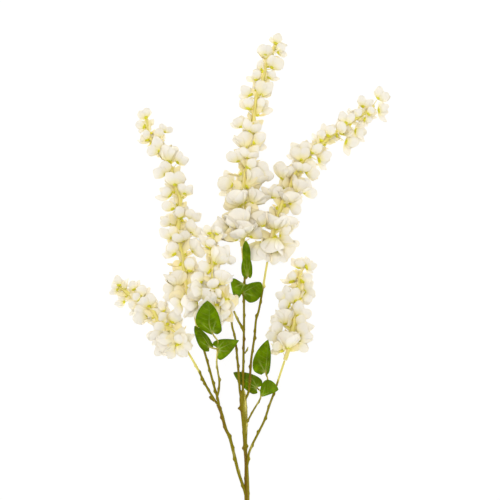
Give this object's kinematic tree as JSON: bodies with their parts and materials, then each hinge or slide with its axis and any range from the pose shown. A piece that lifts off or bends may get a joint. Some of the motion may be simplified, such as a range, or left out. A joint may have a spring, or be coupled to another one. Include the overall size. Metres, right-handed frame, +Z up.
{
  "type": "wisteria flower cluster",
  "caption": "Cut spray of wisteria lying flat: slender forked stem, long tapering racemes of cream blossoms and a few pointed leaves.",
  "frame": {"origin": "on the resting surface, under the middle of the spray's box", "axes": "+Y from the cut end of the main stem towards the flower tips, +X to the right seen from above with the tips up, +Z up from the surface"},
  "size_m": [0.4668, 0.7938, 0.091],
  "materials": {
    "petal": "soft matte cream petals, greener towards the base",
    "leaf": "satin mid green with paler veins",
    "raceme_axis": "matte pale yellow-green",
    "bark": "matte olive brown, ribbed and knobbly"
  },
  "bodies": {
    "root": {"centre_stem": "bark", "inner_left_axis": "raceme_axis", "inner_left_blossoms": "petal", "inner_left_bud_1": "petal", "inner_left_bud_2": "petal", "inner_left_bud_3": "petal", "left_branch": "bark", "left_centre_stem": "bark", "left_inner_stem": "bark", "left_leaf_inner": "leaf", "left_leaf_outer": "leaf", "left_leaf_stalk": "bark", "left_leaf_upper": "leaf", "left_outer_stem": "bark", "lower_left_axis": "raceme_axis", "lower_left_blossoms": "petal", "lower_left_bud_1": "petal", "lower_left_bud_2": "petal", "lower_left_bud_3": "petal", "lower_left_bud_4": "petal", "lower_right_axis": "raceme_axis", "lower_right_blossoms": "petal", "lower_right_bud_1": "petal", "lower_right_bud_2": "petal", "lower_right_bud_3": "petal", "lower_right_bud_4": "petal", "main_stem": "bark", "middle_leaf_left": "leaf", "middle_leaf_right": "leaf", "middle_leaf_stalk": "bark", "middle_leaf_top": "leaf", "right_branch": "bark", "right_centre_stem": "bark", "right_leaf_back": "leaf", "right_leaf_lower": "leaf", "right_leaf_stalk": "bark", "right_leaf_upper": "leaf", "upper_left_axis": "raceme_axis", "upper_left_blossoms": "petal", "upper_left_bud_1": "petal", "upper_left_bud_2": "petal", "upper_left_bud_3": "petal", "upper_left_bud_4": "petal", "upper_left_bud_5": "petal", "upper_middle_axis": "raceme_axis", "upper_middle_blossoms": "petal", "upper_middle_bud_1": "petal", "upper_middle_bud_2": "petal", "upper_middle_bud_3": "petal", "upper_middle_bud_4": "petal", "upper_middle_bud_5": "petal", "upper_right_axis": "raceme_axis", "upper_right_blossoms": "petal", "upper_right_bud_1": "petal", "upper_right_bud_2": "petal", "upper_right_bud_3": "petal", "upper_right_bud_4": "petal"}
  },
  "joints": []
}
